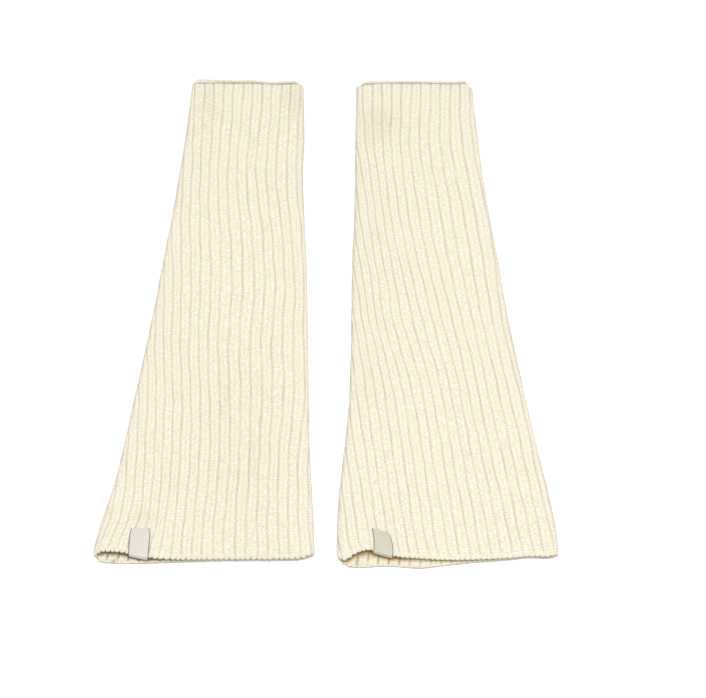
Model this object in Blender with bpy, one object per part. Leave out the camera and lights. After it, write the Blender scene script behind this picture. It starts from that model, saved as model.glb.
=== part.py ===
"""A pair of rib-knit leg warmers, laid flat side by side.

Each leg is one knitted tube with both ends open, wide at the hem near the viewer and
narrow at the far end, and a woven label is folded over the upper layer of its hem.
The tables and constants are in millimetres, and become metres in the mesh.
"""
import math

import bmesh
import bpy

MM = 0.001

# Thickness of the knitted wall at a rib's valley, and what a rib adds to it
WALL = 2.0
RIB_RISE = 1.4
RIB_RISE_AT_EDGE = 1.1
VALLEY_RISE_AT_EDGE = 0.5
BOUND_EDGE = 4.0
# Air between the two layers where the leg lies pressed flat
REST_GAP = 1.0
# Length of the hem over which the upper layer comes down from its gape
GAPE_REACH = 70.0
# Waves die away within this part of the width and this length of the ends
WAVE_SIDE = 0.12
WAVE_END = 30.0
# A rib's points keep this far from the flat underside, and its rise dies away before it,
# both counted round a fold, the second as parts of the half turn
FLAT_MARGIN = 0.4
UNDER_FADE_START = 0.55
UNDER_FADE_LENGTH = 0.4

# Nominal ends of a leg along its length, and the rows of points between them
HEM_ALONG = -213.0
TOP_ALONG = 213.0
ROWS_BETWEEN = 22
EDGE_ROWS = (0.0, 0.45, 1.0)

# Points of one rib across, as parts of its pitch, with how far each rises (1 is full)
RIB_PROFILE = ((0.0, 0.0), (0.24, 1.0), (0.5, 0.84), (0.76, 1.0))
RIB_KNOTS = (0, 6, 12, 18)
# Ribs looked for on a row, and the numbers of the two ends of its chain of points
RIB_NUMBERS = (-6, 30)
CHAIN_ENDS = (-1000, 1000)

# Points round the plain inside and under the flat underside
INNER_STEPS_ACROSS = 22
INNER_STEPS_ROUND = 4
UNDER_STEPS = 16

# The label, its clearance from the knit and its three lengths round the hem
LABEL_THICK = 0.5
LABEL_CLEAR = 0.4
LABEL_STEPS_OVER = 5
LABEL_STEPS_UNDER = 3
LABEL_STEPS_ACROSS = 8
LABEL_UNDER_LENGTH = 9.0

# Each colour is linear red, green and blue, then the roughness
KNIT_COLOUR = (0.888, 0.826, 0.665)
LABEL_COLOUR = (0.72, 0.69, 0.62)
KNIT_ROUGHNESS = 0.92
LABEL_ROUGHNESS = 0.7

SECTION_COLUMNS = ("along", "left", "right", "rib 0", "rib 6", "rib 12", "rib 18")
HEM_COLUMNS = ("across", "hem under", "hem over", "gape", "top under", "top over")
WAVE_COLUMNS = ("across", "along", "width", "length", "slant", "rise")
LABEL_COLUMNS = ("up", "left", "right")

LEG_LEFT = {
    "sections": (
        (-213.0, -178.1, -9.9, -19.0, -70.0, -120.3, -168.6),
        (-195.0, -176.0, -10.5, -20.1, -70.7, -119.0, -163.6),
        (-168.0, -168.3, -11.9, -21.5, -70.0, -117.4, -158.0),
        (-136.5, -161.1, -13.7, -22.1, -68.4, -115.4, -155.6),
        (-94.0, -154.0, -15.1, -18.6, -68.8, -115.0, -156.0),
        (-50.5, -146.7, -16.0, -17.4, -70.1, -117.7, -156.6),
        (-6.0, -139.7, -17.0, -18.4, -69.9, -119.2, -157.2),
        (39.0, -133.5, -18.1, -19.1, -69.1, -120.0, -158.6),
        (85.5, -126.9, -20.4, -22.3, -72.3, -121.8, -168.0),
        (121.0, -122.5, -21.9, -25.9, -76.0, -120.8, -167.0),
        (157.0, -118.5, -21.0, -25.4, -74.6, -121.2, -167.5),
        (213.0, -113.5, -22.3, -24.2, -72.4, -121.0, -168.5),
    ),
    "hems": (
        (0.0, -212.0, -211.0, 0.6, 215.6, 209.4),
        (0.03, -215.4, -209.8, 1.2, 216.8, 210.4),
        (0.08, -216.8, -209.7, 1.9, 217.7, 211.6),
        (0.14, -217.4, -210.8, 2.3, 217.7, 211.7),
        (0.22, -217.5, -213.3, 2.4, 217.3, 211.6),
        (0.34, -216.9, -215.0, 2.3, 216.9, 211.5),
        (0.56, -215.6, -214.6, 1.6, 216.6, 211.4),
        (0.68, -215.2, -214.4, 0.8, 215.4, 211.0),
        (0.8, -215.0, -214.5, 0.4, 215.4, 210.4),
        (0.94, -214.3, -213.4, 0.2, 215.6, 210.1),
        (1.0, -209.4, -209.2, 0.1, 213.8, 208.2),
    ),
    "waves": (
        (0.30, -150.0, 26.0, 60.0, 0.10, 0.7),
        (0.86, -120.0, 18.0, 70.0, -0.06, 0.8),
        (0.62, -40.0, 22.0, 90.0, 0.04, 0.5),
        (0.25, 40.0, 20.0, 60.0, 0.16, 0.7),
        (0.70, 120.0, 20.0, 70.0, -0.10, 0.8),
        (0.20, 175.0, 16.0, 40.0, 0.05, 0.5),
    ),
    "label": (
        (22.0, -150.6, -136.2),
        (15.0, -150.8, -136.0),
        (8.0, -151.4, -136.4),
        (0.0, -152.0, -137.0),
    ),
}

LEG_RIGHT = {
    "sections": (
        (-213.0, 10.5, 178.4, 176.8, 127.6, 78.6, 34.5),
        (-195.0, 9.7, 177.5, 173.9, 125.8, 76.5, 32.4),
        (-168.0, 10.7, 173.7, 169.2, 121.6, 72.8, 28.6),
        (-136.5, 13.7, 167.7, 163.5, 115.9, 68.9, 24.3),
        (-94.0, 18.1, 159.7, 156.3, 109.3, 63.8, 19.0),
        (-50.5, 20.4, 152.3, 148.1, 102.7, 55.1, 14.6),
        (-6.0, 21.1, 144.9, 140.6, 92.6, 44.4, 12.0),
        (39.0, 21.7, 139.3, 136.6, 82.3, 38.7, 6.0),
        (85.5, 23.3, 132.6, 131.7, 74.1, 32.9, -4.2),
        (121.0, 24.1, 128.3, 126.2, 69.8, 28.8, -9.0),
        (157.0, 24.3, 124.9, 120.6, 67.5, 23.9, -19.0),
        (213.0, 25.5, 120.7, 119.6, 70.0, 22.0, -26.0),
    ),
    "hems": (
        (0.0, -213.0, -212.2, 0.5, 210.8, 208.8),
        (0.03, -218.0, -213.6, 1.4, 212.4, 208.8),
        (0.06, -220.4, -211.3, 2.1, 214.2, 209.9),
        (0.11, -220.6, -209.2, 2.4, 215.0, 210.6),
        (0.15, -220.3, -209.0, 2.4, 215.1, 210.9),
        (0.19, -219.7, -211.0, 2.4, 215.3, 211.1),
        (0.27, -220.2, -214.3, 2.2, 215.6, 211.3),
        (0.37, -220.6, -215.8, 1.9, 216.0, 211.3),
        (0.46, -219.4, -216.2, 1.6, 216.0, 211.3),
        (0.6, -217.1, -215.8, 1.0, 215.5, 211.0),
        (0.77, -214.6, -214.0, 0.3, 215.0, 210.6),
        (0.88, -212.9, -212.3, 0.2, 214.7, 210.4),
        (0.96, -213.1, -212.5, 0.2, 214.9, 210.2),
        (1.0, -210.0, -209.8, 0.1, 211.3, 208.3),
    ),
    "waves": (
        (0.22, -15.0, 20.0, 60.0, 0.34, 1.1),
        (0.12, -110.0, 16.0, 60.0, 0.30, 0.6),
        (0.80, 70.0, 20.0, 60.0, 0.16, 0.8),
        (0.55, -90.0, 20.0, 70.0, 0.24, 0.5),
        (0.45, 130.0, 22.0, 50.0, 0.10, 0.6),
        (0.86, -150.0, 18.0, 50.0, 0.24, 0.6),
    ),
    "label": (
        (22.0, 34.6, 48.4),
        (15.0, 34.8, 50.8),
        (8.0, 35.2, 52.0),
        (0.0, 35.6, 51.8),
    ),
}

# The box of the pair is centred on the origin by this shift
CENTRE_SHIFT = (-0.211, 1.477)


def ease(part):
    """Smooth step from 0 to 1."""
    part = min(max(part, 0.0), 1.0)
    return part * part * (3.0 - 2.0 * part)


def curve_value(rows, columns, name, where):
    """Value of a named column at a place of the first column, on a smooth curve through the rows."""
    index = columns.index(name)
    order = sorted(rows)
    places = [row[0] for row in order]
    values = [row[index] for row in order]
    last = len(order) - 1
    where = min(max(where, places[0]), places[last])
    span = 0
    while span < last - 1 and where > places[span + 1]:
        span += 1
    length = places[span + 1] - places[span]
    before = max(span - 1, 0)
    after = min(span + 2, last)
    slope_start = (values[span + 1] - values[before]) / (places[span + 1] - places[before])
    slope_end = (values[after] - values[span]) / (places[after] - places[span])
    part = (where - places[span]) / length
    square = part * part
    cube = square * part
    start = values[span] * (2.0 * cube - 3.0 * square + 1.0)
    end = values[span + 1] * (3.0 * square - 2.0 * cube)
    bend = slope_start * (cube - 2.0 * square + part) + slope_end * (cube - square)
    return start + end + bend * length


def section_value(leg, name, along):
    return curve_value(leg["sections"], SECTION_COLUMNS, name, along)


def hem_value(leg, name, across):
    return curve_value(leg["hems"], HEM_COLUMNS, name, across)


def gap_at(leg, across, along):
    """Air between the layers: the rest gap, the gape of the hem and the soft waves."""
    gape = hem_value(leg, "gape", across) * (1.0 - ease((along - HEM_ALONG) / GAPE_REACH))
    side = ease(across / WAVE_SIDE) * ease((1.0 - across) / WAVE_SIDE)
    ends = ease((along - HEM_ALONG) / WAVE_END) * ease((TOP_ALONG - along) / WAVE_END)
    width = section_value(leg, "right", along) - section_value(leg, "left", along)
    waves = 0.0
    for centre, place, wide, long, slant, rise in leg["waves"]:
        run = along - place
        offset = (across - centre) * width + slant * run
        waves += rise * math.exp(-((offset / wide) ** 2) - (run / long) ** 2)
    return REST_GAP + gape + waves * side * ends


def rib_line(leg, rib, along):
    """Distance across at which a rib's valley runs, ribs counted from the right edge."""
    knots = [section_value(leg, "rib %d" % knot, along) for knot in RIB_KNOTS]
    span = 0
    while span < len(RIB_KNOTS) - 2 and rib > RIB_KNOTS[span + 1]:
        span += 1
    part = (rib - RIB_KNOTS[span]) / (RIB_KNOTS[span + 1] - RIB_KNOTS[span])
    return knots[span] + part * (knots[span + 1] - knots[span])


def rib_rise(phase, along):
    """Height of a rib at one of its points, lower along the two bound edges."""
    edge = min(along - HEM_ALONG, TOP_ALONG - along)
    bound = 1.0 - ease(edge / BOUND_EDGE)
    valley = VALLEY_RISE_AT_EDGE * bound
    crown = RIB_RISE + (RIB_RISE_AT_EDGE - RIB_RISE) * bound
    return valley + (crown - valley) * phase


class Row:
    """One row of points round a leg, at a part of its length."""

    def __init__(self, leg, along):
        self.leg = leg
        self.along = along
        self.part = (along - HEM_ALONG) / (TOP_ALONG - HEM_ALONG)
        self.left = section_value(leg, "left", along)
        self.right = section_value(leg, "right", along)
        self.radius_left = WALL + gap_at(leg, 0.0, along) / 2.0
        self.radius_right = WALL + gap_at(leg, 1.0, along) / 2.0
        self.fold_left = self.left + self.radius_left
        self.fold_right = self.right - self.radius_right
        self.round_left = math.pi * self.radius_left
        self.round_right = math.pi * self.radius_right

    def across(self, x):
        return min(max((x - self.left) / (self.right - self.left), 0.0), 1.0)

    def lengthwise(self, x, over):
        """Place along the leg of a point, between the under layer (0) and the upper one (1)."""
        across = self.across(x)
        hem_under = hem_value(self.leg, "hem under", across)
        hem_over = hem_value(self.leg, "hem over", across)
        top_under = hem_value(self.leg, "top under", across)
        top_over = hem_value(self.leg, "top over", across)
        hem = hem_under + (hem_over - hem_under) * over
        top = top_under + (top_over - top_under) * over
        return hem + (top - hem) * self.part

    def point(self, u, lift):
        """Point of the upper layer and its folds at u across, moved out by lift.

        Between the folds u is the distance across. Beyond them it runs round the fold to
        the edge of the flat underside.
        """
        if u > self.fold_right:
            turn = min((u - self.fold_right) / self.round_right, 1.0) * math.pi
            reach = self.radius_right + lift
            x = self.fold_right + reach * math.sin(turn)
            z = self.radius_right + reach * math.cos(turn)
            over = (1.0 + math.cos(turn)) / 2.0
        elif u < self.fold_left:
            turn = min((self.fold_left - u) / self.round_left, 1.0) * math.pi
            reach = self.radius_left + lift
            x = self.fold_left - reach * math.sin(turn)
            z = self.radius_left + reach * math.cos(turn)
            over = (1.0 + math.cos(turn)) / 2.0
        else:
            x = u
            gap = gap_at(self.leg, self.across(u), self.along)
            z = 2.0 * WALL + gap + lift
            over = 1.0
        return (x, self.lengthwise(x, over), z)

    def under_fade(self, u):
        """Ribs die away where a fold meets the flat underside."""
        turn = 0.0
        if u > self.fold_right:
            turn = (u - self.fold_right) / self.round_right
        elif u < self.fold_left:
            turn = (self.fold_left - u) / self.round_left
        return 1.0 - ease((turn - UNDER_FADE_START) / UNDER_FADE_LENGTH)

    def ribbed_chain(self):
        """Numbered points over the upper layer and both folds, from right to left."""
        first_u = self.fold_right + self.round_right
        last_u = self.fold_left - self.round_left
        chain = [(CHAIN_ENDS[0], first_u, self.point(first_u, 0.0))]
        per_rib = len(RIB_PROFILE)
        for number in range(RIB_NUMBERS[0] * per_rib, RIB_NUMBERS[1] * per_rib):
            rib, place = divmod(number, per_rib)
            offset, phase = RIB_PROFILE[place]
            u = rib_line(self.leg, rib + offset, self.along)
            if last_u + FLAT_MARGIN < u < first_u - FLAT_MARGIN:
                rise = rib_rise(phase, self.along) * self.under_fade(u)
                chain.append((number, u, self.point(u, rise)))
        chain.append((CHAIN_ENDS[1], last_u, self.point(last_u, 0.0)))
        return chain

    def plain_chain(self):
        """Points of the inside of the upper layer and both folds, from right to left."""
        stops = []
        for step in range(INNER_STEPS_ROUND):
            stops.append(self.fold_right + self.round_right * (1.0 - step / INNER_STEPS_ROUND))
        for step in range(INNER_STEPS_ACROSS + 1):
            part = step / INNER_STEPS_ACROSS
            stops.append(self.fold_right + (self.fold_left - self.fold_right) * part)
        for step in range(1, INNER_STEPS_ROUND + 1):
            stops.append(self.fold_left - self.round_left * step / INNER_STEPS_ROUND)
        return [(number, u, self.point(u, -WALL)) for number, u in enumerate(stops)]

    def under_chain(self, height):
        """Points of the flat under layer between the folds, from left to right."""
        chain = []
        for step in range(1, UNDER_STEPS):
            x = self.fold_left + (self.fold_right - self.fold_left) * step / UNDER_STEPS
            chain.append((step, x, (x, self.lengthwise(x, 0.0), height)))
        return chain


def row_places():
    """Places along a leg of its rows, closer together at the two bound edges."""
    hem = [HEM_ALONG + BOUND_EDGE * part for part in EDGE_ROWS]
    top = [TOP_ALONG - BOUND_EDGE * part for part in reversed(EDGE_ROWS)]
    span = top[0] - hem[-1]
    middle = [hem[-1] + span * step / ROWS_BETWEEN for step in range(1, ROWS_BETWEEN)]
    return hem + middle + top


def add_vertices(mesh, chain, shift):
    """Mesh vertices for a chain of numbered points, in metres."""
    added = []
    for number, u, (x, y, z) in chain:
        place = ((x + shift[0]) * MM, (y + shift[1]) * MM, z * MM)
        added.append((number, u, mesh.verts.new(place)))
    return added


def zip_chains(mesh, lower, upper, key):
    """Fill the band between two chains, stepping on whichever one is behind by its key."""
    low = 0
    high = 0
    while low < len(lower) - 1 or high < len(upper) - 1:
        low_next = lower[low + 1][key] if low < len(lower) - 1 else None
        high_next = upper[high + 1][key] if high < len(upper) - 1 else None
        if low_next is not None and low_next == high_next:
            corners = (lower[low], lower[low + 1], upper[high + 1], upper[high])
            low += 1
            high += 1
        elif high_next is None or (low_next is not None and low_next < high_next):
            corners = (lower[low], lower[low + 1], upper[high])
            low += 1
        else:
            corners = (lower[low], upper[high + 1], upper[high])
            high += 1
        mesh.faces.new([corner[2] for corner in corners])


def finish_mesh(mesh, name, smooth):
    """Turns a filled mesh into a named object with outward faces."""
    bmesh.ops.triangulate(mesh, faces=mesh.faces[:])
    bmesh.ops.recalc_face_normals(mesh, faces=mesh.faces[:])
    data = bpy.data.meshes.new(name)
    mesh.to_mesh(data)
    mesh.free()
    for polygon in data.polygons:
        polygon.use_smooth = smooth
    piece = bpy.data.objects.new(name, data)
    bpy.context.scene.collection.objects.link(piece)
    return piece


def band_under(mesh, lower, upper, lower_front, upper_front):
    """Fill the flat band between two rows of the under layer, from the left fold to the right."""
    low = [lower_front[-1][2]] + [vertex for _, _, vertex in lower] + [lower_front[0][2]]
    high = [upper_front[-1][2]] + [vertex for _, _, vertex in upper] + [upper_front[0][2]]
    for step in range(len(low) - 1):
        mesh.faces.new((low[step], low[step + 1], high[step + 1], high[step]))


def fill_rim(mesh, outer, inner, outer_under, inner_under):
    """Close the wall at one open end, over the folds by distance and under them point by point."""
    outward = [(number, -u, vertex) for number, u, vertex in outer]
    inward = [(number, -u, vertex) for number, u, vertex in inner]
    zip_chains(mesh, outward, inward, 1)
    band_under(mesh, outer_under, inner_under, outer, inner)


def make_leg(name, leg, shift):
    """One knitted tube: ribbed over the top and the folds, plain inside and underneath."""
    mesh = bmesh.new()
    rows = [Row(leg, along) for along in row_places()]
    outers = [add_vertices(mesh, row.ribbed_chain(), shift) for row in rows]
    inners = [add_vertices(mesh, row.plain_chain(), shift) for row in rows]
    outers_under = [add_vertices(mesh, row.under_chain(0.0), shift) for row in rows]
    inners_under = [add_vertices(mesh, row.under_chain(WALL), shift) for row in rows]
    for index in range(len(rows) - 1):
        zip_chains(mesh, outers[index], outers[index + 1], 0)
        zip_chains(mesh, inners[index], inners[index + 1], 0)
        band_under(mesh, outers_under[index], outers_under[index + 1], outers[index], outers[index + 1])
        band_under(mesh, inners_under[index], inners_under[index + 1], inners[index], inners[index + 1])
    for index in (0, len(rows) - 1):
        fill_rim(mesh, outers[index], inners[index], outers_under[index], inners_under[index])
    return finish_mesh(mesh, name, True)


def label_path(leg, x):
    """Path of the label round the upper layer of the hem at one place across.

    Each point holds the height up the leg, the place along it and the two heights of the label.
    """
    hem_row = Row(leg, HEM_ALONG)
    length = leg["label"][0][0]
    crown = RIB_RISE + LABEL_CLEAR
    path = []
    for step in range(LABEL_STEPS_OVER + 1):
        up = length * (1.0 - step / LABEL_STEPS_OVER)
        row = Row(leg, HEM_ALONG + up)
        _, y, z = row.point(x, crown)
        path.append((up, y, z, (0.0, 1.0)))
    _, hem_y, crown_z = hem_row.point(x, crown)
    _, _, inner_z = hem_row.point(x, -WALL - LABEL_CLEAR)
    path.append((0.0, hem_y - LABEL_CLEAR, crown_z - LABEL_CLEAR, (-1.0, 0.0)))
    path.append((0.0, hem_y - LABEL_CLEAR, inner_z + LABEL_CLEAR, (-1.0, 0.0)))
    for step in range(LABEL_STEPS_UNDER + 1):
        up = LABEL_UNDER_LENGTH * step / LABEL_STEPS_UNDER
        row = Row(leg, HEM_ALONG + up)
        _, y, z = row.point(x, -WALL - LABEL_CLEAR)
        path.append((0.0, y, z, (0.0, -1.0)))
    return path


def make_label(name, leg, shift):
    """A woven strip folded over the upper layer of the hem, clear of the ribs' crowns."""
    mesh = bmesh.new()
    stations = len(label_path(leg, leg["label"][0][1]))
    near = [[] for _ in range(stations)]
    far = [[] for _ in range(stations)]
    for step in range(LABEL_STEPS_ACROSS + 1):
        part = step / LABEL_STEPS_ACROSS
        for station in range(stations):
            up = label_path(leg, leg["label"][0][1])[station][0]
            left = curve_value(leg["label"], LABEL_COLUMNS, "left", up)
            right = curve_value(leg["label"], LABEL_COLUMNS, "right", up)
            x = left + (right - left) * part
            _, y, z, (out_y, out_z) = label_path(leg, x)[station]
            inside = ((x + shift[0]) * MM, (y + shift[1]) * MM, z * MM)
            outside = (inside[0], inside[1] + out_y * LABEL_THICK * MM, inside[2] + out_z * LABEL_THICK * MM)
            near[station].append(mesh.verts.new(inside))
            far[station].append(mesh.verts.new(outside))
    corners = []
    for station in range(stations - 1):
        for step in range(LABEL_STEPS_ACROSS):
            for side in (near, far):
                here = side[station]
                ahead = side[station + 1]
                corners.append((here[step], here[step + 1], ahead[step + 1], ahead[step]))
        for step in (0, LABEL_STEPS_ACROSS):
            edge_near = (near[station][step], near[station + 1][step])
            edge_far = (far[station + 1][step], far[station][step])
            corners.append(edge_near + edge_far)
    for station in (0, stations - 1):
        for step in range(LABEL_STEPS_ACROSS):
            edge_near = (near[station][step], near[station][step + 1])
            edge_far = (far[station][step + 1], far[station][step])
            corners.append(edge_near + edge_far)
    for four in corners:
        mesh.faces.new(four)
    return finish_mesh(mesh, name, False)


def make_material(name, colour, roughness):
    """A plain surface with the given colour."""
    material = bpy.data.materials.new(name)
    material.use_nodes = True
    shader = material.node_tree.nodes["Principled BSDF"]
    shader.inputs["Base Color"].default_value = (*colour, 1.0)
    shader.inputs["Roughness"].default_value = roughness
    shader.inputs["Metallic"].default_value = 0.0
    return material


def clear_scene():
    """Removes whatever the start file holds."""
    for item in list(bpy.data.objects):
        bpy.data.objects.remove(item, do_unlink=True)


def main():
    clear_scene()
    knit = make_material("cream_rib_knit", KNIT_COLOUR, KNIT_ROUGHNESS)
    woven = make_material("woven_label", LABEL_COLOUR, LABEL_ROUGHNESS)
    for side, leg in (("left", LEG_LEFT), ("right", LEG_RIGHT)):
        tube = make_leg("leg_" + side, leg, CENTRE_SHIFT)
        tube.data.materials.append(knit)
        label = make_label("label_" + side, leg, CENTRE_SHIFT)
        label.data.materials.append(woven)


main()
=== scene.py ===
"""Dresses the solids of a pair of rib-knit leg warmers, laid flat side by side.

The solids give the form. This file knits it: courses and wales in relief, bound-off ends,
the side seam, the ribs inside the mouth, the woven labels, and the stage.
"""

import math

import bmesh
import bpy
import numpy as np
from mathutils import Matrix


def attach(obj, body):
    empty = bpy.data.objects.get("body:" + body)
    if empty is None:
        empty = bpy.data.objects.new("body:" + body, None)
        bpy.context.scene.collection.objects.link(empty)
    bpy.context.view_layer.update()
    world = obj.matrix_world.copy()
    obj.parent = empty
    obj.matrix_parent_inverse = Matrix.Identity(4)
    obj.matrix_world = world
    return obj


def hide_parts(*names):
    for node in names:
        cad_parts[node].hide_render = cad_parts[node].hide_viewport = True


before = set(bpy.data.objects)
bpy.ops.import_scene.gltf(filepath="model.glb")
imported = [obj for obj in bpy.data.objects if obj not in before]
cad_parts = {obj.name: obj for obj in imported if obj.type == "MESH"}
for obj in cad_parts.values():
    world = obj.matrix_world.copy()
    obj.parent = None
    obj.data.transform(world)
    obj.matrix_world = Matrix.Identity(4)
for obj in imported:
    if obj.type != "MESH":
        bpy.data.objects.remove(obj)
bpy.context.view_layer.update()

bl_info = {
    "name": "Rib-knit leg warmers",
    "version": (1, 0, 0),
    "blender": (4, 5, 0),
    "location": "View3D > Sidebar > Leg warmers",
    "description": "Knits a pair of leg warmers over their solids",
    "category": "Object",
}

MM = 0.001

# The lying tube, in the solids' sizes and in millimetres
WALL = 2.0
REST_GAP = 1.0
GAPE_REACH = 70.0
WAVE_SIDE = 0.12
WAVE_END = 30.0
HEM_ALONG = -213.0
TOP_ALONG = 213.0
# The same shift as the solids', which centres the pair
CENTRE_SHIFT = (-0.211, 1.477)

SECTION_COLUMNS = ("along", "left", "right", "rib 0", "rib 4", "rib 8", "rib 12", "rib 16", "rib 20")
RIB_KNOTS = (0, 4, 8, 12, 16, 20)
HEM_COLUMNS = ("across", "hem under", "hem over", "gape", "top under", "top over")
LABEL_COLUMNS = ("part", "left", "left along", "right", "right along")
LABEL_ACROSS = (0.0, 0.025, 0.05, 0.1, 0.2, 0.3, 0.4, 0.5, 0.6, 0.7, 0.8, 0.9, 0.95, 0.975, 1.0)
LABEL_LIFT = 1.75
LABEL_INSIDE = -2.75
LABEL_UNDER_LENGTH = 9.0

# Rows of waves: across, along, width, length, slant, rise. Of dim spots of painted shade, standing for soft
# hollows: x, y, width, length, share. The notch is how far the upper hem's edge is drawn in behind its loops
LEG_LEFT = {
    "sections": (
        (-213.0, -178.0, -9.9, -19.0, -52.9, -86.7, -119.9, -154.6, -183.4),
        (-201.4, -177.0, -10.2, -20.2, -52.9, -87.6, -119.0, -151.4, -179.4),
        (-183.4, -172.8, -11.0, -21.5, -53.7, -87.1, -117.5, -145.2, -174.6),
        (-161.4, -166.6, -12.2, -21.7, -53.3, -85.6, -116.0, -143.0, -171.6),
        (-137.4, -161.2, -13.6, -22.1, -52.8, -84.3, -114.8, -142.4, -170.5),
        (-111.4, -156.7, -14.6, -20.6, -52.5, -84.0, -114.5, -142.4, -169.9),
        (-85.4, -152.5, -15.3, -17.8, -51.7, -84.8, -114.7, -142.3, -169.9),
        (-59.4, -148.1, -15.8, -17.5, -51.8, -86.2, -116.2, -143.1, -170.5),
        (-33.4, -143.9, -16.3, -18.5, -53.0, -87.5, -117.9, -144.8, -171.4),
        (-7.4, -139.9, -16.9, -18.9, -52.1, -87.1, -118.1, -145.1, -172.7),
        (18.6, -136.2, -17.5, -18.4, -50.5, -86.5, -118.3, -145.8, -174.2),
        (44.6, -132.7, -18.3, -20.1, -51.8, -87.0, -119.3, -147.6, -176.2),
        (72.6, -128.6, -19.7, -21.7, -53.7, -88.5, -120.9, -149.7, -178.3),
        (100.6, -124.9, -21.1, -24.6, -57.3, -90.6, -120.9, -150.5, -180.0),
        (128.6, -121.6, -21.8, -25.9, -59.7, -91.1, -120.3, -150.9, -181.5),
        (156.6, -118.5, -21.0, -25.1, -58.4, -90.0, -121.0, -151.9, -183.0),
        (184.6, -115.9, -21.5, -24.6, -56.5, -88.8, -121.0, -152.9, -184.8),
        (213.0, -113.5, -22.3, -23.4, -55.6, -88.3, -121.1, -153.9, -186.6),
    ),
    "hems": (
        (0.0, -212.0, -212.0, 0.6, 217.2, 212.6),
        (0.03, -215.9, -209.8, 1.2, 218.5, 211.6),
        (0.08, -216.9, -209.7, 1.9, 218.8, 211.9),
        (0.14, -217.3, -211.0, 2.3, 218.6, 211.9),
        (0.22, -217.0, -213.9, 2.2, 218.1, 211.8),
        (0.34, -216.5, -215.9, 1.3, 217.8, 211.7),
        (0.56, -214.9, -215.8, 0.8, 217.8, 211.7),
        (0.68, -214.5, -215.6, 0.6, 216.4, 211.2),
        (0.8, -214.3, -215.4, 0.3, 216.6, 210.8),
        (0.94, -214.2, -214.6, 0.2, 216.9, 211.2),
        (1.0, -211.2, -211.2, 0.1, 213.6, 209.8),
    ),
    "waves": (
        (0.30, -150.0, 26.0, 60.0, 0.10, 0.7),
        (0.86, -120.0, 18.0, 70.0, -0.06, 0.8),
        (0.62, -40.0, 22.0, 90.0, 0.04, 0.5),
        (0.25, 40.0, 20.0, 60.0, 0.16, 0.7),
        (0.70, 120.0, 20.0, 70.0, -0.10, 0.8),
        (0.20, 175.0, 16.0, 40.0, 0.05, 0.5),
        (0.84, 160.0, 14.0, 16.0, 0.00, 1.3),
    ),
    "seam": -163.4,
    "notch": 1.0,
    "dim": (
        (-28.0, 197.0, 13.0, 15.0, 0.11),
        (-100.0, 190.0, 8.0, 30.0, 0.05),
        (-143.0, -180.0, 9.0, 9.0, 0.10),
        (-66.0, -125.0, 46.0, 110.0, 0.05),
    ),
    "label": (
        (0.0, -150.3, -191.0, -137.3, -190.8),
        (0.1, -150.9, -193.0, -135.8, -193.1),
        (0.3, -151.5, -197.4, -135.6, -197.4),
        (0.65, -151.8, -204.7, -136.0, -205.0),
        (1.0, -151.9, -211.6, -136.6, -213.9),
    ),
}

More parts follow.
